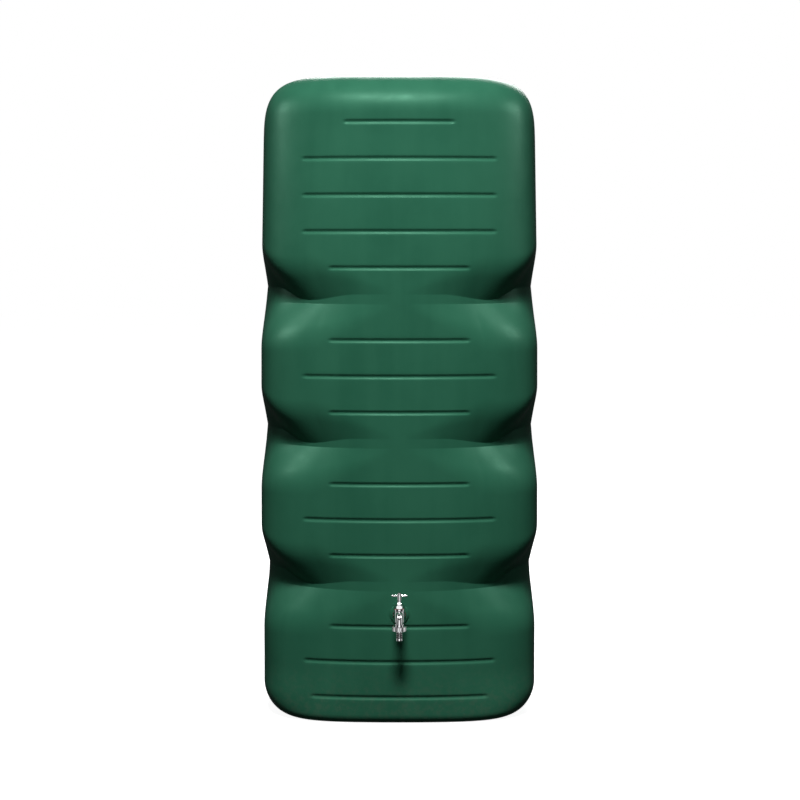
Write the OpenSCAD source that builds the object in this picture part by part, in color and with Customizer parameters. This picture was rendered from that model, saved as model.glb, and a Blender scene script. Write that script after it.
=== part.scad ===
// Slim wall-side rain barrel: a blow-moulded tank with three pinched waists, a screw lid
// and a chrome garden tap with a tee handle. Front is -Y, +X is to the right, +Z is up.
// The origin is the middle of the base, on the ground. Millimetres throughout.

/* [Tank] */
// Width across the bulges
body_w = 785; // [745:5:825]
// Depth from front to back
body_d = 550; // [520:5:600]
// Height of the deck above the ground
body_h = 1780; // [1770:5:1840]
// Wall thickness
wall = 6; // [4:0.5:7]
// Height of the lowest waist above the ground
first_waist = 370; // [360:2:380]
// Distance from one waist to the next
waist_pitch = 394; // [388:2:400]
// How far the foot is narrower than the bulges, each side
foot_taper = 6; // [4:1:12]
// How far the sides draw in for each metre of height, each side
draft = 5; // [0:1:8]
// Reach of the soft edge round the deck, along the tank's width
deck_edge = 196; // [150:2:200]
// Reach of the soft edge round the base, along the tank's width
base_edge = 88; // [80:2:110]

/* [Lid] */
// Radius of the lid, without its grip ribs
lid_r = 112; // [108:0.5:114]
// Radius of the filler neck's bore
neck_bore_r = 92; // [86:1:93]

/* [Tap] */
// Height of the tap's inlet above the ground
tap_z = 308; // [300:1:315]
// Reach of the outlet in front of the tank wall
tap_reach = 76; // [72:1:84]
// Span of the tee handle
handle_span = 44; // [40:1:56]
// Radius of the hose tail's barbs
tail_r = 10; // [9:0.25:10]

/* [Inlet] */
// Height of the filler hose inlet above the ground
inlet_z = 1600; // [1500:5:1620]
// Radius of the filler hose's end
inlet_r = 16; // [13:0.5:17]

/* [Hidden] */
$fn = 64;
eps = 1;

// ---- tank outline ----
half_w = body_w / 2;
half_d = body_d / 2;
bulge_power = 5.5;      // superellipse power of a bulge's plan: a soft rectangle
waist_power = 2.25;     // and of a waist's plan: nearly an oval
side_pinch = 15;        // how far a waist draws in the middle of a side
front_crown = 60;       // how far the front and back fall away towards the corners
side_crown = 10;        // and the sides
head_taper = 7;         // narrowing from the top waist up to the deck's edge
foot_setback = 2;       // how far the foot's front and back lie behind the bulges'
under_len = 120;        // height of a bulge's underside at the corners, above its crease
slope_len = 130;        // height of the shoulder below a waist's lip, at the corners
straight_part = 0.45;   // share of the shoulder that is straight, below the lip
face_reach = 0.62;      // share of the half width at which both have their full height
face_least = 0.12;      // share of that height left in the middle of the front
corner_belt = 10;       // height of the belt between a waist's lip and crease, at a corner
side_belt = 44;         // in the middle of a side
front_belt = 27;        // and in the middle of the front
side_lip = 0.75;        // share of a waist's depth that its lip has, in the middle of a side
corner_dir = 50;        // direction of the corners
dip_width = 22;         // how far round from there the belt widens, in degrees
foot_crown = 0.6;       // share of the front's crown at the foot
crown_rise = 150;       // height from which the crown is whole
deck_power = 3.5;       // fullness of the soft edge round the deck, along the width
front_deck_edge = 105;  // reach of the soft edges along the depth
front_base_edge = 26;
waists = [for (i = [0:2]) first_waist + i * waist_pitch];

around = 40;            // facets round the tank
crowding = 10.9;        // shifts them towards the corners, in degrees
facets_deck = 6;
facets_base = 5;

// ---- grooves across the front and the back, four to a waist pitch ----
groove_w = 11;
groove_floor_w = 5;
groove_depth = 3;
groove_fade = 60;       // length over which a groove runs out at its ends
groove_pitch = waist_pitch / 4;
no_groove = -9;
// Half the length of groove i, which is shorter beside a waist and under the deck.
function groove_reach(i) = i == 13 ? 149 : i == -3 ? 243
    : i > 9 || i == -2 || i == 2 || i == 6 ? 263 : 191;
function groove_z(i) = waists[0] + i * groove_pitch;

function clamp(x) = min(1, max(0, x));
function ease(x) = let (t = clamp(x)) t * t * (3 - 2 * t);
function radial(dir, power) =
    pow(pow(abs(cos(dir)), power) + pow(abs(sin(dir)), power), -1 / power);

// Direction folded into one quarter: 0 is the middle of a side, 90 the middle of the front.
function folded(dir) = asin(abs(sin(dir)));
function to_side(dir) = ease((corner_dir - folded(dir)) / dip_width);
function to_front(dir) = ease((folded(dir) - corner_dir) / dip_width);
function belt(dir) = corner_belt + (side_belt - corner_belt) * to_side(dir)
    + (front_belt - corner_belt) * to_front(dir);
function lip(dir) = 1 - (1 - side_lip) * pow(to_side(dir), 2);
function reach(dir) = max(face_least, min(1, abs(radial(dir, bulge_power) * cos(dir)) / face_reach));
function shoulder(t) = t < straight_part ? 1 - 2 * t / (1 + straight_part)
                                         : pow(1 - t, 2) / (1 - pow(straight_part, 2));
function underside(t) = t < 0.5 ? (0.75 - t) / 0.75 : pow(1 - t, 2) / 0.75;
// Depth of a waist, from 0 to 1, at height h above its lip.
function dent_at(dir, h) = let (crease = belt(dir))
    h > crease ? underside(clamp((h - crease) / under_len / reach(dir)))
    : h > 0 ? lip(dir) + (1 - lip(dir)) * h / crease
    : lip(dir) * shoulder(clamp(-h / slope_len / reach(dir)));
function dent(dir, z) = max([for (w = waists) dent_at(dir, z - w)]);

function foot_at(z) = 1 - ease((z - waists[0]) / 150);
function head_at(z) = clamp((z - waists[2]) / (body_h - 150 - waists[2]));
function plan_w(z) = half_w - foot_taper * foot_at(z) - head_taper * head_at(z)
    - draft * max(0, z - 1.5 * first_waist) / 1000;
function plan_d(z) = half_d - foot_setback * foot_at(z) - head_taper * head_at(z);

// How far a soft edge has drawn the wall in, at a depth below or above its end of the tank,
// for a wall moved in by shrink.
function soft_edge(reach, depth, shrink, power) = let (r = reach - shrink)
    reach - r * pow(1 - pow(clamp((reach - depth) / r), power), 1 / power);
function width_inset(z, shrink) = max(soft_edge(base_edge, z, shrink, 2),
                                      soft_edge(deck_edge, body_h - z, shrink, deck_power));
function depth_inset(z, shrink) = max(soft_edge(front_base_edge, z, shrink, 2),
                                      soft_edge(front_deck_edge, body_h - z, shrink, 2));

// A point of the wall, for a wall moved in by shrink.
function wall_point(dir, z, shrink) =
    let (a = plan_w(z) - width_inset(z, shrink),
         b = plan_d(z) - depth_inset(z, shrink),
         w = dent(dir, z),
         full = radial(dir, bulge_power),
         slim = radial(dir, waist_power),
         u = ((1 - w) * full + w * slim * (1 - side_pinch / a)) * cos(dir),
         v = ((1 - w) * full + w * slim) * sin(dir),
         across = a * u / half_w,
         crown = front_crown / half_d * (foot_crown + (1 - foot_crown) * ease(z / crown_rise)))
    [a * u * (1 - side_crown / a * v * v), b * v * (1 - crown * across * across), z];

// Height of a ring in direction dir: the ring at a crease follows it round the tank, and the
// rings between the lip and the next groove follow in part.
function bend_at(h) = let (end = groove_pitch - groove_w / 2)
    h < corner_belt ? clamp(h / corner_belt) : clamp((end - h) / (end - corner_belt));
function ring_z_at(dir, z) = z + (belt(dir) - corner_belt) * max([for (w = waists) bend_at(z - w)]);

// Heights of the rings round the base's and the deck's soft edges.
function base_z(i, shrink) = base_edge - (base_edge - shrink) * cos(90 * i / facets_base);
function deck_z(i, shrink) =
    body_h - deck_edge + (deck_edge - shrink) * pow(sin(90 * i / facets_deck), 2 / deck_power);

// Rings of the wall as [height, groove], for a wall moved in by shrink.
waist_rings = [-62, -30, 0, corner_belt, 50];
function is_waist(i) = i == 0 || i == 4 || i == 8;
function rings_at(i, grooved) = is_waist(i) ? [for (h = waist_rings) [groove_z(i) + h, no_groove]]
    : grooved ? [for (k = [-1, 1]) for (side = [-1, 1])
                    [groove_z(i) + side * (k < 0 ? groove_w : groove_floor_w) / 2, k < 0 ? no_groove : i]]
    : [[groove_z(i), no_groove]];
function rings(shrink, grooved) = in_order(concat(
    [for (i = [0:facets_base]) [base_z(i, shrink), no_groove]],
    [for (i = [-3:13]) for (ring = rings_at(i, grooved)) ring],
    [for (i = [-3:12]) if (!is_waist(i) && !is_waist(i + 1)) [groove_z(i + 0.5), no_groove]],
    [for (i = [0:facets_deck]) [deck_z(i, shrink), no_groove]]));
function in_order(list) = len(list) < 2 ? list : let (middle = list[floor(len(list) / 2)][0])
    concat(in_order([for (v = list) if (v[0] < middle) v]),
           [[middle, max([for (v = list) if (v[0] == middle) v[1]])]],
           in_order([for (v = list) if (v[0] > middle) v]));
// Moves a point of ring i into its groove, if it has one and the point lies along it.
function grooved_point(p, i) =
    let (along = clamp((groove_reach(i) + groove_fade / 2 - abs(p[0])) / groove_fade))
    i == no_groove ? p : [p[0], p[1] - sign(p[1]) * groove_depth * along, p[2]];
function facet_dir(j) = let (u = 360 * j / around) u + crowding * sin(4 * u);

module wall_solid(shrink, grooved) {
    profile = rings(shrink, grooved);
    last = len(profile) - 1;
    polyhedron(
        [for (p = profile) for (j = [0:around - 1])
            let (dir = facet_dir(j))
            grooved_point(wall_point(dir, ring_z_at(dir, p[0]), shrink), p[1])],
        concat(
            [[for (j = [0:around - 1]) j]],
            [for (i = [0:last - 1]) for (j = [0:around - 1])
                let (k = (j + 1) % around, low = i * around, high = low + around)
                [low + j, high + j, low + k]],
            [for (i = [0:last - 1]) for (j = [0:around - 1])
                let (k = (j + 1) % around, low = i * around, high = low + around)
                [low + k, high + j, high + k]],
            [[for (j = [around - 1:-1:0]) last * around + j]]));
}

// ---- lid, neck and the well that they stand in ----
well_r = lid_r + 23;
well_floor = body_h - 45;
neck_r = neck_bore_r + 8;
neck_top = body_h - 11;
thread_height = 2.2;
gasket_t = 3;
lid_under = neck_top + gasket_t;
lid_plate = 6;
lid_drop = 33;          // how far the skirt hangs below the plate
lid_skirt = 7.5;
lid_ribs = 36;
lid_rib_r = 3;
lid_spokes = 12;
spigot_r = neck_bore_r - 2;

// ---- tap, from the face of its boss outwards ----
tap_face = -plan_d(tap_z) - 3;
boss_r = 26;
boss_depth = 22;
insert_r = 18;
insert_flange_r = 21;
insert_flange_t = 4;
thread_r = 13.2;        // three-quarter inch pipe thread, over its crests
fit_gap = 0.05;
seal_t = 2.5;
shank_in = 16;
collar_t = 6;
collar_flats = 30;
pipe_r = 10.5;
stem_y = -42;           // axis of the spindle
chamber_r = 14.5;
chamber_top = 24;
seat_z = 9.5;
spout_r = 9.5;
spout_bore = 5.8;
spout_z = 11;
bend_r = 22;
outlet_end = -24;
lift = 7;               // the valve's travel in two turns
hex_flats = 27;
gland_flats = 17;
gland_r = 7;
bonnet_foot = 17;
bonnet_hex = chamber_top + 1;
bonnet_top = 34;
gland_floor = bonnet_top - 5;
hub_low = 54;
hub_top = 65;
spindle_r = 4.8;
nut_r = 19.5;
nut_top = -17.5;
nut_low = -31;
tail_low = -58;

inlet_y = 70;
inlet_grip = wall + 7;  // how deep the grommet's collar reaches into the wall
inlet_face = plan_w(inlet_z) + 1;
inlet_hole = inlet_r + 4;

module along_y(from, to, r) {
    translate([0, from, 0]) rotate([to > from ? -90 : 90, 0, 0]) cylinder(r = r, h = abs(to - from));
}
module along_z(from, to, r, r2 = undef) {
    translate([0, 0, from]) cylinder(r1 = r, r2 = is_undef(r2) ? r : r2, h = to - from);
}
module ring_z(from, to, r_out, r_in) {
    difference() {
        along_z(from, to, r_out);
        along_z(from - eps, to + eps, r_in);
    }
}
// A hexagon across its flats with chamfered corners, standing on +Z.
module hex_z(from, to, flats) {
    corner = flats / 2 / cos(30);
    inner = 0.49 * flats;
    bevel = 0.6 * (corner - inner);
    intersection() {
        translate([0, 0, from]) cylinder(r = corner, h = to - from, $fn = 6);
        rotate_extrude() polygon([[0, from], [inner, from], [corner + 0.2, from + bevel],
            [corner + 0.2, to - bevel], [inner, to], [0, to]]);
    }
}
module at_tap() { translate([0, tap_face, tap_z]) children(); }
module at_stem() { translate([0, tap_face + stem_y, tap_z]) children(); }
module at_outlet() { translate([0, tap_face - tap_reach, tap_z]) children(); }
module at_inlet() { translate([inlet_face, inlet_y, inlet_z]) rotate([0, 90, 0]) children(); }

// ---- tank ----
module well(grow) {
    along_z(well_floor - grow, body_h + 20, well_r + grow);
}
module neck_threads() {
    for (z = [well_floor + 14:10:neck_top - 3])
        rotate_extrude() polygon([[neck_r - 1, z - 3], [neck_r, z - 3],
            [neck_r + thread_height, z], [neck_r, z + 1], [neck_r - 1, z + 1]]);
}
module tank_shell() {
    color("darkgreen") difference() {
        union() {
            difference() {
                wall_solid(0, true);
                well(0);
                difference() {
                    wall_solid(wall, false);
                    well(wall);
                }
            }
            ring_z(well_floor - wall, neck_top, neck_r, neck_bore_r);
            neck_threads();
            at_tap() along_y(0, boss_depth, boss_r);
            at_inlet() along_z(-inlet_grip, 0, inlet_hole + 10);
        }
        along_z(well_floor - 2 * wall, body_h, neck_bore_r);
        at_tap() insert_outline();
        at_inlet() along_z(-inlet_grip - eps, eps, inlet_hole);
    }
}
module inlet_grommet() {
    lip = 5;
    color("dimgray") at_inlet() rotate_extrude() polygon([
        [inlet_r, -inlet_grip - 3], [inlet_hole + lip - 2, -inlet_grip - 3],
        [inlet_hole + lip - 1, -inlet_grip],
        [inlet_hole, -inlet_grip], [inlet_hole, 0], [inlet_hole + lip, 0],
        [inlet_hole + lip, 1], [inlet_hole + lip - 2, 3], [inlet_r, 3]]);
}

// ---- lid ----
module lid() {
    top = lid_under + lid_plate;
    color("green") {
        difference() {
            union() {
                along_z(lid_under - lid_drop, top, lid_r);
                for (i = [0:lid_ribs - 1]) rotate(360 / lid_ribs * i)
                    translate([lid_r, 0, lid_under - lid_drop]) cylinder(r = lid_rib_r, h = lid_drop + 2);
                for (i = [0:lid_spokes - 1]) rotate(360 / lid_spokes * i)
                    translate([31, -2.5, top - eps]) cube([65, 5, eps + 2.5]);
                ring_z(top - eps, top + 2.5, 34, 28);
            }
            along_z(lid_under - lid_drop - eps, lid_under, lid_r - lid_skirt);
        }
        ring_z(lid_under - 6, lid_under + eps, spigot_r, spigot_r - 5);
    }
}
module lid_gasket() {
    color("black") ring_z(neck_top, lid_under, neck_r - 0.5, neck_bore_r + 0.5);
}

// ---- tap ----
module insert_outline() {
    along_y(-eps, boss_depth, insert_r);
    along_y(boss_depth - insert_flange_t, boss_depth + eps, insert_flange_r);
}
module threaded_insert() {
    color("goldenrod") at_tap() difference() {
        union() {
            along_y(0, boss_depth, insert_r);
            along_y(boss_depth - insert_flange_t, boss_depth, insert_flange_r);
        }
        along_y(-eps, boss_depth + eps, thread_r + fit_gap);
    }
}
module tap_seal() {
    color("black") at_tap() difference() {
        along_y(0, -seal_t, thread_r + 4.3);
        along_y(eps, -seal_t - eps, thread_r + 0.2);
    }
}
module spout(r) {
    at_tap() {
        translate([0, 0, spout_z]) along_y(stem_y, -tap_reach + bend_r, r);
        translate([0, -tap_reach + bend_r, spout_z - bend_r]) rotate([90, 0, -90])
            rotate_extrude(angle = 90) translate([bend_r, 0]) circle(r = r);
    }
}
module tap_body() {
    color("silver") difference() {
        union() {
            at_tap() {
                along_y(shank_in, -seal_t - 1, thread_r);
                rotate([90, 0, 0]) hex_z(seal_t, seal_t + collar_t, collar_flats);
                along_y(-seal_t - collar_t, stem_y, pipe_r);
            }
            at_stem() {
                along_z(-12, chamber_top, chamber_r);
                along_z(-16, -12, chamber_r - 4, chamber_r);
                along_z(chamber_top - 5, chamber_top, chamber_r + 1);
            }
            spout(spout_r);
            at_outlet() {
                along_z(-14, spout_z - bend_r, spout_r);
                along_z(outlet_end, -13, thread_r);
            }
        }
        at_tap() {
            along_y(shank_in + eps, stem_y + 12, 6.5);
            along_y(stem_y + 13, stem_y, 4.5);
        }
        at_stem() {
            along_z(-7, 5, 9);
            along_z(4, seat_z + eps, 5.5);
            difference() {
                along_z(8, chamber_top - 6, 10.5);
                along_z(7, seat_z, 7);
            }
            along_z(chamber_top - 7, chamber_top + eps, 11.05);
        }
        spout_way();
        at_outlet() along_z(outlet_end - eps, spout_z - bend_r, spout_bore);
    }
}
// The way from the upper chamber to the bend, which starts outside the seat.
module spout_way() {
    difference() {
        spout(spout_bore);
        at_stem() along_z(-10, seat_z, 7);
        at_stem() along_z(-10, 8, chamber_r - 3);
    }
}
module bonnet() {
    color("silver") at_stem() difference() {
        union() {
            along_z(bonnet_foot, bonnet_hex, 11);
            hex_z(bonnet_hex, bonnet_top, hex_flats);
        }
        along_z(bonnet_foot - eps, chamber_top, 8.2);
        along_z(chamber_top - eps, gland_floor + eps, spindle_r + fit_gap);
        along_z(gland_floor, bonnet_top + eps, gland_r);
    }
}
module bonnet_seal() {
    color("darkred") at_stem() ring_z(chamber_top, bonnet_hex, 14, 11.1);
}
module gland_packing() {
    color("ivory") at_stem() ring_z(gland_floor, gland_floor + 3, gland_r, spindle_r + fit_gap);
}
module gland_nut() {
    color("silver") at_stem() difference() {
        union() {
            along_z(gland_floor + 3, bonnet_top + 1, gland_r - 0.02);
            hex_z(bonnet_top + 0.4, bonnet_top + 4.6, gland_flats);
            along_z(bonnet_top + 4, bonnet_top + 6.5, 7.8, 6.2);
        }
        along_z(gland_floor, bonnet_top + 8, spindle_r + 0.1);
    }
}
module spindle() {
    color("silver") at_stem() difference() {
        union() {
            along_z(16.5, hub_low - 4, spindle_r);
            along_z(hub_low - 5, hub_low, 6);
            translate([-3.2, -3.2, hub_low - eps]) cube([6.4, 6.4, hub_top - hub_low - 1]);
        }
        along_z(15, 27, 3);
        along_z(hub_top - 8, hub_top, 2.1);
    }
}
module jumper_valve() {
    color("goldenrod") at_stem() {
        along_z(seat_z + 3, seat_z + 6, 7.5);
        along_z(seat_z + 5, 26, 2.9);
        along_z(seat_z - 3.5, seat_z + 4, 1.5);
    }
}
module valve_washer() {
    color("black") at_stem() ring_z(seat_z, seat_z + 3, 7.5, 1.5);
}
module washer_nut() {
    color("goldenrod") at_stem() difference() {
        hex_z(seat_z - 2.6, seat_z, 5.5);
        along_z(seat_z - 4, seat_z + eps, 1.5);
    }
}
module tee_handle() {
    tip_r = 4.1;
    color("silver") at_stem() difference() {
        union() {
            along_z(hub_low + 1, hub_top - 1, 6.6);
            along_z(hub_low, hub_low + 1, 5.6, 6.6);
            along_z(hub_top - 1, hub_top, 6.6, 5.6);
            for (side = [-1, 1]) translate([0, 0, (hub_low + hub_top) / 2]) {
                rotate([0, 90 * side, 0]) along_z(4, handle_span / 2 - tip_r, 2.7, 3.5);
                translate([side * (handle_span / 2 - tip_r), 0, 0]) sphere(r = tip_r);
            }
        }
        translate([-3.25, -3.25, hub_low - eps]) cube([6.5, 6.5, hub_top - hub_low + 2]);
    }
}
module handle_screw() {
    color("silver") at_stem() {
        difference() {
            union() {
                along_z(hub_top, hub_top + 1.4, 5);
                along_z(hub_top + 1.4, hub_top + 2.6, 5, 3.6);
            }
            translate([-6, -0.5, hub_top + 1.6]) cube([12, 1, 2]);
        }
        along_z(hub_top - 7, hub_top + eps, 2.05);
    }
}
module union_nut() {
    flutes = 20;
    color("silver") at_outlet() difference() {
        union() {
            along_z(nut_low, nut_low + 1.5, nut_r - 1.5, nut_r);
            along_z(nut_low + 1.5, nut_top - 1.5, nut_r);
            along_z(nut_top - 1.5, nut_top, nut_r, nut_r - 1.5);
        }
        along_z(nut_low + 3, nut_top + eps, thread_r + 0.1);
        along_z(nut_low - eps, nut_low + 4, tail_r + 0.4);
        for (i = [0:flutes - 1]) rotate(360 / flutes * i)
            translate([nut_r + 0.9, 0, nut_low - eps]) cylinder(r = 1.9, h = nut_top - nut_low + 2);
    }
}
module union_washer() {
    color("black") at_outlet() ring_z(outlet_end - 2, outlet_end, 12.6, 7);
}
module hose_tail() {
    barb = 5.5;
    first = nut_low - 3;
    color("silver") at_outlet() difference() {
        union() {
            along_z(outlet_end - 4, outlet_end - 2, 12.8);
            along_z(tail_low + 4, outlet_end - 3, tail_r - 0.8);
            for (i = [0:2]) along_z(first - barb * (i + 1), first - barb * i - 0.8, tail_r - 0.8, tail_r);
            for (i = [0:2]) along_z(first - barb * i - 0.8, first - barb * i, tail_r);
            along_z(tail_low + 2, tail_low + 7.5, tail_r);
            along_z(tail_low, tail_low + 2, tail_r - 1.2, tail_r);
        }
        along_z(tail_low - eps, outlet_end, 7);
    }
}

tank_shell();
inlet_grommet();
lid();
lid_gasket();
threaded_insert();
tap_seal();
tap_body();
bonnet();
bonnet_seal();
gland_nut();
gland_packing();
spindle();
jumper_valve();
valve_washer();
washer_nut();
tee_handle();
handle_screw();
union_nut();
union_washer();
hose_tail();
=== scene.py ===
import bpy
import math
import numpy as np
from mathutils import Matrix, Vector


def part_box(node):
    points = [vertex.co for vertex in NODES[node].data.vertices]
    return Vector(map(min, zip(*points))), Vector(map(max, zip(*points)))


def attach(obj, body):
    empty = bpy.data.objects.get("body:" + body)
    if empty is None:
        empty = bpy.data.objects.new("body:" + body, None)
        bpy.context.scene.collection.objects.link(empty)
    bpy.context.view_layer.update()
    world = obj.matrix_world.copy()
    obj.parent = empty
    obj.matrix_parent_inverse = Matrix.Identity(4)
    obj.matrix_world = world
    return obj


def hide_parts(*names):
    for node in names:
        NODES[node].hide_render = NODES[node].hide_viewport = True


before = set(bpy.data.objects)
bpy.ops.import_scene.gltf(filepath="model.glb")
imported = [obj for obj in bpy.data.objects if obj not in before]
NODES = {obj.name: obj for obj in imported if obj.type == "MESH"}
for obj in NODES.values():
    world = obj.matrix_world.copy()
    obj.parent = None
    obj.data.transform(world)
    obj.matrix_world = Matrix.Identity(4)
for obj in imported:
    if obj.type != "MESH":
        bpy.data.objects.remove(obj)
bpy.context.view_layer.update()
scene = bpy.context.scene
MM = 0.001

# The tank's outline, in millimetres, as in the CAD source.
HALF_W, HALF_D, BODY_H = 392.5, 275.0, 1780.0
BULGE_POWER, WAIST_POWER = 5.5, 2.25            # superellipse powers of the plans
SIDE_PINCH, FRONT_CROWN, SIDE_CROWN = 15.0, 60.0, 10.0
FOOT_CROWN, CROWN_RISE = 0.6, 150.0             # the crown is weaker at the foot
HEAD_TAPER, FOOT_TAPER, FOOT_SETBACK, DRAFT = 7.0, 6.0, 2.0, 5.0
TAPER_RISE = 150.0                              # height over which the tapers blend in
UNDER_LEN, SLOPE_LEN, STRAIGHT_PART = 120.0, 130.0, 0.45
FACE_REACH, FACE_LEAST, SIDE_LIP = 0.62, 0.12, 0.75
CORNER_DIR, DIP_WIDTH = 50.0, 22.0              # degrees
CORNER_BELT, SIDE_BELT, FRONT_BELT = 10.0, 44.0, 27.0
DECK_EDGE, DECK_POWER, BASE_EDGE = 196.0, 3.5, 88.0
FRONT_DECK_EDGE, FRONT_BASE_EDGE = 105.0, 26.0
FIRST_WAIST, WAIST_PITCH = 370.0, 394.0
WAISTS = [FIRST_WAIST + i * WAIST_PITCH for i in range(3)]
BULGE_MIDDLE = 952.0
WALL = 6.0
GROOVE_PITCH = WAIST_PITCH / 4
GROOVES = {i: 149 if i == 13 else 243 if i == -3 else 263 if i > 9 or i in (-2, 2, 6) else 191
           for i in range(-3, 14) if i not in (0, 4, 8)}
GROOVE_R, GROOVE_DEPTH = 6.0, 3.4
GROOVE_FOOT = GROOVE_PITCH - 5.5                # rings bend with a crease up to the next groove
WELL_R, WELL_FLOOR, WELL_LIP, WELL_BEND = 135.0, BODY_H - 45, 7.0, 6.0
NECK_R, NECK_BORE, NECK_TOP, NECK_FOOT = 100.0, 92.0, BODY_H - 11, 4.0
THREAD_PITCH, THREAD_DEPTH = 10.0, 2.2
RIDGE, RIDGE_HALF_WIDTH = 0.8, 1.6              # parting line of the mould
TANK_POINTS = 404


# ---------------------------------------------------------------- mesh helpers
def ease(t):
    t = np.clip(t, 0, 1)
    return t * t * (3 - 2 * t)


def ring_mesh(name, rings):
    """One closed skin through rings of points, each an array of n points, given in millimetres."""
    rings = np.asarray(rings, float)
    m, n = rings.shape[:2]
    row, here = np.arange(m - 1)[:, None] * n, np.arange(n)[None, :]
    after = (here + 1) % n
    quads = np.stack([(row + here).ravel(), (row + after).ravel(),
                      (row + n + after).ravel(), (row + n + here).ravel()], 1)
    low, high, last = m * n, m * n + 1, (m - 1) * n
    caps = [(low, (k + 1) % n, k) for k in range(n)]
    caps += [(high, last + k, last + (k + 1) % n) for k in range(n)]
    co = np.vstack([rings.reshape(-1, 3), rings[0].mean(0), rings[-1].mean(0)]) * MM
    mesh = bpy.data.meshes.new(name)
    mesh.vertices.add(len(co))
    mesh.vertices.foreach_set("co", co.astype(np.float32).ravel())
    loops = np.concatenate([quads.ravel(), np.array(caps, int).ravel()]).astype(np.int32)
    sizes = np.concatenate([np.full(len(quads), 4), np.full(len(caps), 3)])
    mesh.loops.add(len(loops))
    mesh.loops.foreach_set("vertex_index", loops)
    mesh.polygons.add(len(sizes))
    starts = np.concatenate([[0], np.cumsum(sizes)[:-1]]).astype(np.int32)
    mesh.polygons.foreach_set("loop_start", starts)
    mesh.polygons.foreach_set("loop_total", sizes.astype(np.int32))
    mesh.update(calc_edges=True)
    mesh.validate()
    mesh.shade_smooth()
    obj = bpy.data.objects.new(name, mesh)
    scene.collection.objects.link(obj)
    return obj


def arc(cx, cy, r, start, end, steps):
    """Points of a circular arc in profile coordinates, angles in degrees."""
    return [(cx + r * math.cos(math.radians(a)), cy + r * math.sin(math.radians(a)))
            for a in np.linspace(start, end, steps + 1)]


def dense(profile, step):
    """The profile with points no further apart than step."""
    out = [profile[0]]
    for (r0, z0), (r1, z1) in zip(profile, profile[1:]):
        k = max(1, int(math.ceil(math.hypot(r1 - r0, z1 - z0) / step)))
        out += [(r0 + (r1 - r0) * t / k, z0 + (z1 - z0) * t / k) for t in range(1, k + 1)]
    return out


# ---------------------------------------------------------------- materials
class Nodes:
    """A small helper to wire up one material."""

    def __init__(self, name):
        self.mat = bpy.data.materials.new(name)
        self.mat.use_nodes = True
        self.tree = self.mat.node_tree
        self.bsdf = self.tree.nodes["Principled BSDF"]
        self.coord = self.tree.nodes.new("ShaderNodeTexCoord").outputs["Object"]

    def node(self, kind, **inputs):
        n = self.tree.nodes.new(kind)
        for key, value in inputs.items():
            socket = n.inputs[key.replace("_", " ")]
            if isinstance(value, bpy.types.NodeSocket):
                self.tree.links.new(value, socket)
            else:
                socket.default_value = value
        return n

    def noise(self, scale, detail=3.0, rough=0.5, stretch=None, distort=0.0):
        vec = self.coord
        if stretch:
            vec = self.node("ShaderNodeMapping", Vector=vec, Scale=stretch).outputs["Vector"]
        n = self.node("ShaderNodeTexNoise", Vector=vec, Scale=scale, Detail=detail, Roughness=rough,
                      Distortion=distort)
        return n.outputs["Fac"]

    def span(self, value, low, high, out_low, out_high, smooth=False):
        n = self.node("ShaderNodeMapRange", Value=value, From_Min=low, From_Max=high, To_Min=out_low,
                      To_Max=out_high)
        n.interpolation_type = "SMOOTHSTEP" if smooth else "LINEAR"
        return n.outputs["Result"]

    def mix(self, fac, a, b):
        n = self.tree.nodes.new("ShaderNodeMix")
        n.data_type = "RGBA"
        for socket, value in ((n.inputs[0], fac), (n.inputs[6], a), (n.inputs[7], b)):
            if isinstance(value, bpy.types.NodeSocket):
                self.tree.links.new(value, socket)
            elif socket.type == "RGBA":
                socket.default_value = (*value, 1.0)
            else:
                socket.default_value = value
        return n.outputs[2]

    def math(self, operation, a, b=0.0):
        n = self.tree.nodes.new("ShaderNodeMath")
        n.operation = operation
        for socket, value in zip(n.inputs, (a, b)):
            if isinstance(value, bpy.types.NodeSocket):
                self.tree.links.new(value, socket)
            else:
                socket.default_value = value
        return n.outputs[0]

    def bump(self, height, distance, strength, before=None):
        n = self.node("ShaderNodeBump", Height=height, Distance=distance, Strength=strength)
        if before is not None:
            self.tree.links.new(before, n.inputs["Normal"])
        return n.outputs["Normal"]

    def set(self, **inputs):
        for key, value in inputs.items():
            socket = self.bsdf.inputs[key.replace("_", " ")]
            if isinstance(value, bpy.types.NodeSocket):
                self.tree.links.new(value, socket)
            else:
                socket.default_value = value
        return self.mat


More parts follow.
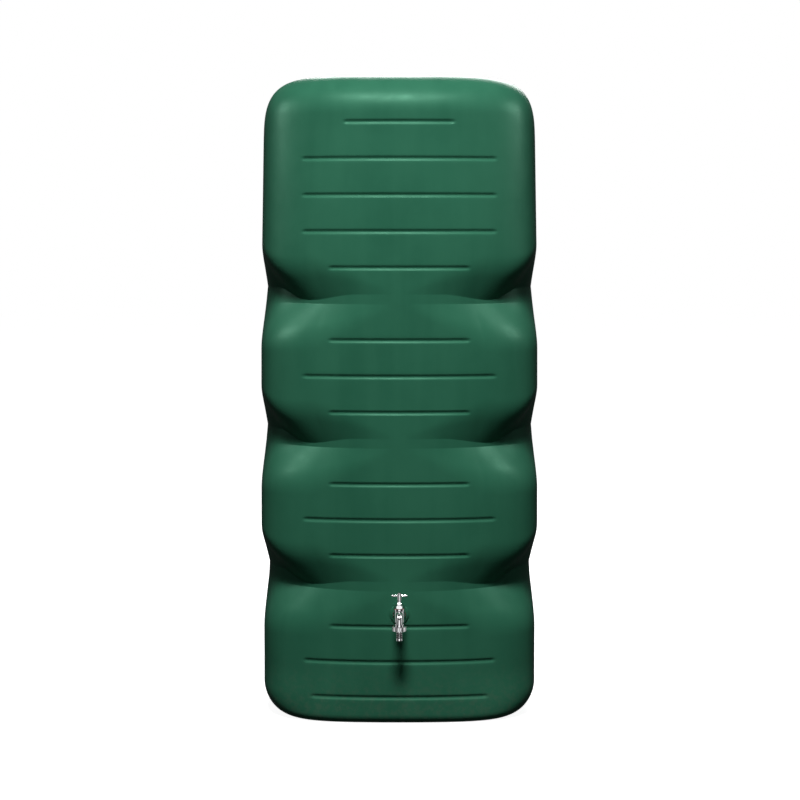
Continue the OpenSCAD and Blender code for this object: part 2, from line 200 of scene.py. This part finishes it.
def polyethylene(name, colour, light, dark, roughness=0.39):
    m = Nodes(name)
    cloud = m.span(m.noise(5.0, 4.0, 0.55), 0.35, 0.65, 0.0, 1.0, True)
    flow = m.span(m.noise(14.0, 3.0, 0.5, (1.0, 1.0, 0.12), 0.4), 0.3, 0.7, 0.0, 1.0, True)
    speck = m.span(m.noise(900.0, 2.0, 0.6), 0.62, 0.75, 0.0, 0.35)
    base = m.mix(cloud, dark, colour)
    base = m.mix(m.math("MULTIPLY", flow, 0.35), base, light)
    base = m.mix(speck, base, light)
    # rain-splashed dust at the foot, and faint scuffs
    z = m.node("ShaderNodeSeparateXYZ", Vector=m.coord).outputs["Z"]
    foot = m.span(z, 0.0, 0.22, 0.16, 0.0, True)
    dust = m.math("MULTIPLY", foot, m.span(m.noise(60.0, 5.0, 0.65), 0.4, 0.7, 0.0, 1.0, True))
    base = m.mix(dust, base, (0.16, 0.15, 0.12))
    scuff = m.span(m.noise(38.0, 6.0, 0.7, (1.0, 1.0, 3.5), 1.2), 0.66, 0.74, 0.0, 0.12, True)
    base = m.mix(scuff, base, light)
    rough = m.span(m.noise(22.0, 4.0, 0.6), 0.3, 0.7, roughness - 0.05, roughness + 0.06)
    rough = m.math("ADD", rough, m.math("MULTIPLY", dust, 0.5))
    grain = m.bump(m.noise(1500.0, 2.0, 0.6), 0.0001, 0.35)
    ripple = m.bump(m.noise(9.0, 2.0, 0.5), 0.004, 0.12, grain)
    return m.set(Base_Color=base, Roughness=rough, Normal=ripple, Specular_IOR_Level=0.16,
                 Specular_Tint=(0.42, 1.0, 0.70, 1.0))


def chrome(name, tint=(0.86, 0.87, 0.88), roughness=0.07):
    m = Nodes(name)
    wear = m.span(m.noise(120.0, 5.0, 0.6), 0.35, 0.75, 0.0, 1.0, True)
    spots = m.span(m.noise(420.0, 4.0, 0.7), 0.63, 0.72, 0.0, 1.0, True)
    base = m.mix(m.math("MULTIPLY", wear, 0.25), tint, (0.70, 0.71, 0.72))
    base = m.mix(m.math("MULTIPLY", spots, 0.35), base, (0.45, 0.43, 0.40))
    rough = m.span(wear, 0.0, 1.0, roughness, roughness + 0.08)
    rough = m.math("ADD", rough, m.math("MULTIPLY", spots, 0.2))
    cast = m.bump(m.noise(260.0, 3.0, 0.5), 0.0003, 0.12)
    fine = m.bump(m.noise(1800.0, 2.0, 0.6), 0.00005, 0.15, cast)
    return m.set(Base_Color=base, Roughness=rough, Normal=fine, Metallic=1.0)


def brass(name):
    m = Nodes(name)
    turned = m.noise(40.0, 2.0, 0.5, (1.0, 1.0, 60.0))
    tarnish = m.span(m.noise(150.0, 5.0, 0.65), 0.4, 0.7, 0.0, 1.0, True)
    base = m.mix(m.math("MULTIPLY", tarnish, 0.5), (0.78, 0.57, 0.27), (0.42, 0.28, 0.13))
    rough = m.span(tarnish, 0.0, 1.0, 0.22, 0.42)
    return m.set(Base_Color=base, Roughness=rough, Normal=m.bump(turned, 0.0001, 0.3), Metallic=1.0)


def rubber(name, colour=(0.018, 0.018, 0.019)):
    m = Nodes(name)
    bloom = m.span(m.noise(90.0, 5.0, 0.6), 0.4, 0.7, 0.0, 0.4, True)
    base = m.mix(bloom, colour, tuple(c * 2.2 + 0.01 for c in colour))
    rough = m.span(m.noise(300.0, 3.0, 0.6), 0.3, 0.7, 0.62, 0.82)
    return m.set(Base_Color=base, Roughness=rough, Normal=m.bump(m.noise(1400.0, 2.0, 0.6), 0.0001, 0.4))


def plain_plastic(name, colour, dark, roughness):
    m = Nodes(name)
    base = m.mix(m.span(m.noise(220.0, 4.0, 0.6), 0.35, 0.7, 0.0, 1.0, True), colour, dark)
    rough = m.span(m.noise(500.0, 3.0, 0.6), 0.3, 0.7, roughness - 0.06, roughness + 0.08)
    return m.set(Base_Color=base, Roughness=rough, Normal=m.bump(m.noise(1200.0, 2.0, 0.6), 0.0001, 0.3))


TANK_GREEN = polyethylene("tank_green", (0.026, 0.135, 0.078), (0.036, 0.160, 0.094),
                          (0.022, 0.120, 0.069))
LID_GREEN = polyethylene("lid_green", (0.022, 0.115, 0.066), (0.030, 0.140, 0.082),
                         (0.018, 0.100, 0.058), 0.36)
CHROME = chrome("chrome_plate")
BRASS = brass("turned_brass")
BLACK = rubber("black_rubber")
FIBRE = plain_plastic("red_fibre", (0.20, 0.022, 0.014), (0.13, 0.016, 0.010), 0.6)
WHITE = plain_plastic("white_packing", (0.76, 0.75, 0.71), (0.62, 0.61, 0.57), 0.45)


def finish(obj, material, body, slot, *replaced):
    obj.data.materials.clear()
    obj.data.materials.append(material)
    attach(obj, body)
    if replaced:
        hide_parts(*replaced)
    return obj


# ---------------------------------------------------------------- tank shell
def radial(cos, sin, power):
    return (np.abs(cos) ** power + np.abs(sin) ** power) ** (-1 / power)


def soft_edge(reach, depth, shrink, power):
    r = reach - shrink
    return reach - r * (1 - np.clip((reach - depth) / r, 0, 1) ** power) ** (1 / power)


def towards(dirs):
    """How near each direction is to the middle of a side, and to the middle of the front or back."""
    fold = np.degrees(np.arcsin(np.abs(np.sin(dirs))))
    return ease((CORNER_DIR - fold) / DIP_WIDTH), ease((fold - CORNER_DIR) / DIP_WIDTH)


def tank_ring(dirs, z, shrink=0.0):
    """The wall's ring at height z, for a wall moved in by shrink; it bends along with a crease."""
    cos, sin = np.cos(dirs), np.sin(dirs)
    to_side, to_front = towards(dirs)
    belt = CORNER_BELT + (SIDE_BELT - CORNER_BELT) * to_side + (FRONT_BELT - CORNER_BELT) * to_front
    bend = max(min((z - w) / CORNER_BELT, (GROOVE_FOOT - z + w) / (GROOVE_FOOT - CORNER_BELT))
               for w in WAISTS)
    z = z + max(0.0, bend) * (belt - CORNER_BELT)
    foot = 1 - ease((z - WAISTS[0]) / TAPER_RISE)
    head = np.clip((z - WAISTS[2]) / (BODY_H - TAPER_RISE - WAISTS[2]), 0, 1)
    draft = DRAFT * np.maximum(0, z - 1.5 * FIRST_WAIST) / 1000
    a = HALF_W - FOOT_TAPER * foot - HEAD_TAPER * head - draft
    b = HALF_D - FOOT_SETBACK * foot - HEAD_TAPER * head
    a -= np.maximum(soft_edge(BASE_EDGE, z, shrink, 2),
                    soft_edge(DECK_EDGE, BODY_H - z, shrink, DECK_POWER))
    b -= np.maximum(soft_edge(FRONT_BASE_EDGE, z, shrink, 2),
                    soft_edge(FRONT_DECK_EDGE, BODY_H - z, shrink, 2))
    full, slim = radial(cos, sin, BULGE_POWER), radial(cos, sin, WAIST_POWER)
    reach = np.clip(np.abs(full * cos) / FACE_REACH, FACE_LEAST, 1)
    lip = 1 - (1 - SIDE_LIP) * to_side ** 2
    w = np.zeros_like(dirs)
    for waist in WAISTS:
        h = z - waist
        left = np.clip(1 - (h - belt) / (UNDER_LEN * reach), 0, 1)
        under = np.where(left < 0.5, left ** 2, left - 0.25) / 0.75
        run = np.clip(-h / (SLOPE_LEN * reach), 0, 1)
        straight, curved = 1 - 2 * run / (1 + STRAIGHT_PART), (1 - run) ** 2 / (1 - STRAIGHT_PART ** 2)
        slope = lip * np.where(run < STRAIGHT_PART, straight, curved)
        across = lip + (1 - lip) * h / belt
        w = np.maximum(w, np.where(h > belt, under, np.where(h > 0, across, slope)))
    u = ((1 - w) * full + w * slim * (1 - SIDE_PINCH / a)) * cos
    v = ((1 - w) * full + w * slim) * sin
    crown = FRONT_CROWN / HALF_D * (FOOT_CROWN + (1 - FOOT_CROWN) * ease(z / CROWN_RISE))
    x = a * u * (1 - SIDE_CROWN / a * v * v)
    y = b * v * (1 - crown * (a * u / HALF_W) ** 2)
    return np.stack([x, y, z + 0 * x], 1)


def ring_dirs(count):
    """Directions that space the points of a bulge evenly, with extra ones at the parting line."""
    fine = np.linspace(0, math.pi / 2, 4001)
    p = tank_ring(fine, BULGE_MIDDLE)
    run = np.concatenate([[0], np.cumsum(np.hypot(*np.diff(p[:, :2], axis=0).T))])
    even = np.interp(np.linspace(0, run[-1], count // 4 + 1), run, fine)
    side = np.interp([0.9, 2.0, 3.4], run, fine)
    quarter = np.concatenate([[0], side, even[1:]])
    half = np.concatenate([quarter, math.pi - quarter[-2::-1]])
    return np.concatenate([half, math.pi + half[1:-1]])


def groove_depth(x, z):
    depth = np.zeros_like(x)
    for i, reach in GROOVES.items():
        dz = z - (WAISTS[0] + i * GROOVE_PITCH)
        if abs(dz) < GROOVE_R + 3:
            d = np.hypot(np.maximum(np.abs(x) - reach + GROOVE_R, 0), dz) / GROOVE_R
            depth = np.maximum(depth, GROOVE_DEPTH * (1 - ease(d / 1.35 + 0.02)) ** 0.8)
    return depth


def build_tank():
    dirs = ring_dirs(TANK_POINTS)
    at_parting = np.minimum(np.abs(np.sin(dirs)) * HALF_W / RIDGE_HALF_WIDTH, 1)
    ridge = RIDGE * (1 - ease(at_parting))
    outward = np.stack([np.sign(np.cos(dirs)) * ridge, 0 * ridge, 0 * ridge], 1)
    rings = []

    # underside: a raised panel inside the rim that the tank stands on, and its pinch-off seam
    rim = tank_ring(dirs, 0.0)
    for t in np.concatenate([np.linspace(0.04, 0.80, 12), np.linspace(0.82, 0.92, 10), [0.96]]):
        ring = rim * t
        seam = 2.0 * (1 - ease(np.abs(ring[:, 1]) / 3)) * (t < 0.82)
        ring[:, 2] = 7 * (1 - ease((t - 0.82) / 0.09)) - seam
        rings.append(ring)

    # outside wall
    low = [BASE_EDGE * (1 - math.cos(t)) for t in np.linspace(0, math.pi / 2, 26)]
    high = [BODY_H - DECK_EDGE + DECK_EDGE * math.sin(t) ** (2 / DECK_POWER)
            for t in np.linspace(0, math.pi / 2, 46)]
    heights = set(round(z, 3) for z in low + high)
    heights |= set(round(z, 3) for z in np.arange(BASE_EDGE, BODY_H - DECK_EDGE, 7.0))
    for waist in WAISTS:
        heights |= set(waist + d for d in (-2, -1, 0, 1, 2, 4, 6, 8, 9, 10, 11, 12, 13.5, 15.5, 18, 21))
    for i in GROOVES:
        z0 = WAISTS[0] + i * GROOVE_PITCH
        heights = {z for z in heights if abs(z - z0) > GROOVE_R + 3}
        heights |= set(round(z0 + d, 3) for d in np.linspace(-GROOVE_R - 2.5, GROOVE_R + 2.5, 13))
    for z in sorted(heights):
        ring = tank_ring(dirs, z)
        ring[:, 1] -= np.sign(ring[:, 1]) * groove_depth(ring[:, 0], z)
        fade = ease(z / 12) * ease((BODY_H - z) / 3)
        rings.append(ring + outward * fade)

    # deck, from its soft edge to the well
    edge = tank_ring(dirs, BODY_H)
    polar = np.arctan2(edge[:, 1], edge[:, 0])

    def circle(r, z):
        return np.stack([r * np.cos(polar), r * np.sin(polar), np.full_like(polar, z)], 1)

    for t in np.linspace(0, 1, 14)[1:]:
        rings.append(edge * (1 - t) + circle(WELL_R + WELL_LIP, BODY_H) * t)
    profile = arc(WELL_R + WELL_LIP, BODY_H - WELL_LIP, WELL_LIP, 90, 180, 8)[1:]
    profile += arc(WELL_R - WELL_BEND, WELL_FLOOR + WELL_BEND, WELL_BEND, 0, -90, 7)
    profile += arc(NECK_R + NECK_FOOT, WELL_FLOOR + NECK_FOOT, NECK_FOOT, -90, -180, 5)
    profile = dense(profile, 9.0)
    profile += dense([(NECK_R, WELL_FLOOR + NECK_FOOT), (NECK_R, NECK_TOP - 1.5)], 1.0)[1:]
    profile += arc(NECK_R - 1.5, NECK_TOP - 1.5, 1.5, 0, 90, 3)[1:]
    profile += arc(NECK_BORE + 1.5, NECK_TOP - 1.5, 1.5, 90, 180, 3)
    for r, z in profile:
        if r > NECK_R - 0.01 and WELL_FLOOR + 6 < z < NECK_TOP - 2:
            turn = (z - WELL_FLOOR) / THREAD_PITCH - polar / (2 * math.pi)
            tooth = np.abs((turn % 1) - 0.5) * 2
            ends = ease((z - WELL_FLOOR - 6) / 3) * ease((NECK_TOP - 2 - z) / 3)
            rings.append(circle(r + THREAD_DEPTH * (1 - ease(tooth / 0.55)) * ends, z))
        else:
            rings.append(circle(r, z))

    # inside: neck bore, back of the well, underside of the deck, inner wall and floor
    inner = dense([(NECK_BORE, NECK_TOP - 8), (NECK_BORE, WELL_FLOOR - WALL + 2)], 8.0)
    inner += arc(NECK_BORE + 2, WELL_FLOOR - WALL + 2, 2, 180, 270, 3)
    inner += dense([(NECK_R, WELL_FLOOR - WALL), (WELL_R, WELL_FLOOR - WALL)], 12.0)
    inner += arc(WELL_R, WELL_FLOOR, WALL, -90, 0, 4)
    inner += dense([(WELL_R + WALL, WELL_FLOOR + 4), (WELL_R + WALL, BODY_H - WALL - 6)], 12.0)
    inner += arc(WELL_R + WALL + 4, BODY_H - WALL - 4, 4, 180, 90, 3)
    rings += [circle(r, z) for r, z in inner]
    top_in = tank_ring(dirs, BODY_H - WALL, WALL)
    for t in np.linspace(0, 1, 8)[1:]:
        ring = circle(WELL_R + WALL + 4, BODY_H - WALL) * (1 - t) + top_in * t
        rings.append(ring)
    inner_z = [BODY_H - DECK_EDGE + (DECK_EDGE - WALL) * math.sin(t) ** (2 / DECK_POWER)
               for t in np.linspace(math.pi / 2, 0, 16)][1:]
    inner_z += list(np.arange(BODY_H - DECK_EDGE - 16, BASE_EDGE, -16.0))
    inner_z += [BASE_EDGE - (BASE_EDGE - WALL) * math.cos(t) for t in np.linspace(math.pi / 2, 0, 12)]
    for z in inner_z:
        ring = tank_ring(dirs, z, WALL)
        ring[:, 1] -= np.sign(ring[:, 1]) * groove_depth(ring[:, 0], z)
        rings.append(ring)
    floor_in = tank_ring(dirs, WALL, WALL)
    for t in np.linspace(1, 0.05, 10)[1:]:
        ring = floor_in * t
        ring[:, 2] = WALL + 7 * (1 - ease((t - 0.78) / 0.12))
        rings.append(ring)
    return ring_mesh("tank_skin", np.array(rings))


def lathe(name, profile, place, turn=(0, 0, 0)):
    """A closed solid turned round its own +Z axis, from (radius, height) pairs in millimetres."""
    around = np.linspace(0, 2 * math.pi, 97)[:-1]
    rings = [np.stack([r * np.cos(around), r * np.sin(around), np.full_like(around, z)], 1)
             for r, z in profile]
    obj = ring_mesh(name, rings)
    obj.rotation_euler = turn
    obj.location = [c * MM for c in place]
    return obj


def combine(obj, tool, operation):
    """Adds tool to obj or takes it away, and removes tool."""
    mod = obj.modifiers.new("combine", "BOOLEAN")
    mod.operation, mod.solver, mod.object = operation, "MANIFOLD", tool
    bpy.context.view_layer.update()
    bpy.context.view_layer.objects.active = obj
    bpy.ops.object.modifier_apply(modifier=mod.name)
    bpy.data.objects.remove(tool)


tank = build_tank()

# the raised pad and the stepped hole for the tap's insert
seal_low, seal_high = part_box("tap_seal")
tap_at = (0, seal_high.y / MM, (seal_low.z + seal_high.z) / 2 / MM)
inward = (math.radians(-90), 0, 0)
pad = [(24.4, 0), (25.5, 0.4), (26, 1.4), (26.2, 2.2), (27, 2.9), (28.5, 3.4), (28.5, 8), (26, 9),
       (26, 22)]
hole = [(18, -1), (18, 18), (21, 18), (21, 23)]
combine(tank, lathe("tap_pad", pad, tap_at, inward), "UNION")
combine(tank, lathe("tap_hole", hole, tap_at, inward), "DIFFERENCE")

# the thicker pad and the hole for the filler hose's grommet
grip_low, grip_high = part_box("inlet_grommet")
inlet_at = (grip_high.x / MM - 3, (grip_low.y + grip_high.y) / 2 / MM,
            (grip_low.z + grip_high.z) / 2 / MM)
sideways = (0, math.radians(-90), 0)
combine(tank, lathe("inlet_pad", [(29.2, 0), (30, 0.8), (30, 13)], inlet_at, sideways), "UNION")
combine(tank, lathe("inlet_hole", [(20, -1), (20, 15)], inlet_at, sideways), "DIFFERENCE")
tank.data.shade_smooth()
tank.data.set_sharp_from_angle(angle=math.radians(42))
finish(tank, TANK_GREEN, "tank", "tank_plastic", "tank_shell")

# ---------------------------------------------------------------- carried-over CAD nodes
PLATED = ("tap_body", "bonnet", "gland_nut", "spindle", "tee_handle", "handle_screw", "union_nut",
          "hose_tail")
KEPT = {**{node: CHROME for node in PLATED}, "lid": LID_GREEN, "bonnet_seal": FIBRE,
        "gland_packing": WHITE, "threaded_insert": BRASS, "jumper_valve": BRASS, "washer_nut": BRASS,
        "inlet_grommet": BLACK, "tap_seal": BLACK, "union_washer": BLACK, "lid_gasket": BLACK,
        "valve_washer": BLACK}
for node, material in KEPT.items():
    NODES[node].data.materials.clear()
    NODES[node].data.materials.append(material)

# ---------------------------------------------------------------- stage, light, camera
bpy.ops.mesh.primitive_plane_add(size=60, location=(0, 0, 0))
floor = bpy.context.object
floor.name = "floor"
floor.data.materials.append(Nodes("pale_floor").set(
    Base_Color=(0.75, 0.75, 0.75, 1.0), Roughness=0.9, Specular_IOR_Level=0.1,
    Emission_Color=(1.0, 1.0, 1.0, 1.0), Emission_Strength=0.93))
floor.visible_diffuse = False
floor.visible_glossy = False

world = bpy.data.worlds.new("studio")
scene.world = world
world.use_nodes = True
tree = world.node_tree
back = tree.nodes["Background"]
coord = tree.nodes.new("ShaderNodeTexCoord")
split = tree.nodes.new("ShaderNodeSeparateXYZ")
tree.links.new(coord.outputs["Generated"], split.inputs[0])
ramp = tree.nodes.new("ShaderNodeMapRange")
ramp.interpolation_type = "SMOOTHSTEP"
for key, v in (("From Min", -0.4), ("From Max", 0.9), ("To Min", 0.03), ("To Max", 0.10)):
    ramp.inputs[key].default_value = v
tree.links.new(split.outputs["Z"], ramp.inputs["Value"])
tree.links.new(ramp.outputs["Result"], back.inputs["Strength"])
seen = tree.nodes.new("ShaderNodeBackground")
seen.inputs["Strength"].default_value = 1.0
seen.inputs["Color"].default_value = (1, 1, 1, 1)
back.inputs["Color"].default_value = (1, 1, 1, 1)
path = tree.nodes.new("ShaderNodeLightPath")
mix = tree.nodes.new("ShaderNodeMixShader")
tree.links.new(path.outputs["Is Camera Ray"], mix.inputs["Fac"])
tree.links.new(back.outputs[0], mix.inputs[1])
tree.links.new(seen.outputs[0], mix.inputs[2])
tree.links.new(mix.outputs[0], tree.nodes["World Output"].inputs["Surface"])


def softbox(name, location, target, size_x, size_y, power, sheen_only=False, lit=None):
    light = bpy.data.lights.new(name, "AREA")
    light.shape = "RECTANGLE"
    light.size, light.size_y, light.energy = size_x, size_y, power
    obj = bpy.data.objects.new(name, light)
    scene.collection.objects.link(obj)
    obj.location = location
    aim = Vector(target) - Vector(location)
    obj.rotation_euler = aim.to_track_quat("-Z", "Y").to_euler()
    obj.visible_camera = False
    obj.visible_diffuse = not sheen_only
    if lit:
        obj.light_linking.receiver_collection = lit
    return obj


softbox("key", (-0.15, -3.3, 5.3), (0, 0, 1.25), 1.4, 1.0, 345)
softbox("left", (-1.9, -0.65, 2.2), (-0.3, -0.2, 1.6), 0.7, 0.7, 30, True)
softbox("right", (1.9, -0.65, 2.2), (0.3, -0.2, 1.6), 0.7, 0.7, 28, True)
softbox("back", (0.6, 3.5, 3.6), (0, 0, 1.0), 2.6, 1.6, 130)

# small panels round the tap, seen only in its chrome
plated = bpy.data.collections.new("plated")
for node in PLATED:
    plated.objects.link(NODES[node])
softbox("tap_front", (0, -1.5, 0.45), (0, -0.35, 0.3), 0.9, 1.0, 3.0, True, plated)
softbox("tap_left", (-1.2, -0.45, 0.4), (0, -0.35, 0.3), 0.5, 1.2, 1.0, True, plated)
softbox("tap_right", (1.2, -0.45, 0.4), (0, -0.35, 0.3), 0.5, 1.2, 1.3, True, plated)

cam_data = bpy.data.cameras.new("camera")
cam = bpy.data.objects.new("camera", cam_data)
scene.collection.objects.link(cam)
cam_data.sensor_width = 36.0
cam_data.lens = 86.77
cam.location = (0.0018, -HALF_D * MM - 5.228, 1.3203)
cam.rotation_euler = (math.radians(90 - 4.615), 0, 0)
scene.camera = cam
scene.view_settings.view_transform = "Standard"
